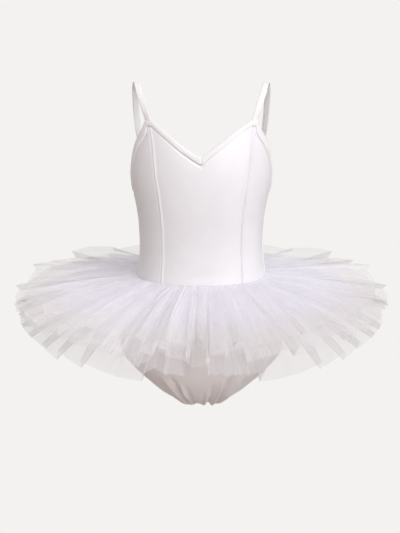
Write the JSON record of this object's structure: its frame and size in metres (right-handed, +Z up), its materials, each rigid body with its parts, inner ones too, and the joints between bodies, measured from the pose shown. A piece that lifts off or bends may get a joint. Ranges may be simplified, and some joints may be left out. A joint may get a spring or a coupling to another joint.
{
  "type": "child's ballet tutu leotard",
  "caption": "Camisole leotard with a pointed front neckline, thin shoulder straps, a short brief and layered gathered net standing out from the waist.",
  "frame": {"origin": "midway between the tops of the two shoulder straps, where the garment hangs on its wearer's shoulders", "axes": "+Z up, -Y towards the front of the garment, +X towards the wearer's left"},
  "size_m": [0.5646, 0.5116, 0.4896],
  "materials": {
    "bodice": "white stretch knit with a satin sheen",
    "binding": "white folded stretch binding with a satin sheen",
    "net": "fine white net with a cool tint"
  },
  "bodies": {
    "root": {"front_centre_panel": "bodice", "front_side_panel_left": "bodice", "front_side_panel_right": "bodice", "back_panel": "bodice", "brief_front": "bodice", "brief_back": "bodice", "neck_binding_left": "binding", "neck_binding_right": "binding", "back_neck_binding": "binding", "armhole_binding_left": "binding", "armhole_binding_right": "binding", "strap_left": "binding", "strap_right": "binding", "net_layer_1": "net", "net_layer_2": "net", "net_layer_3": "net", "net_layer_4": "net"}
  },
  "joints": []
}
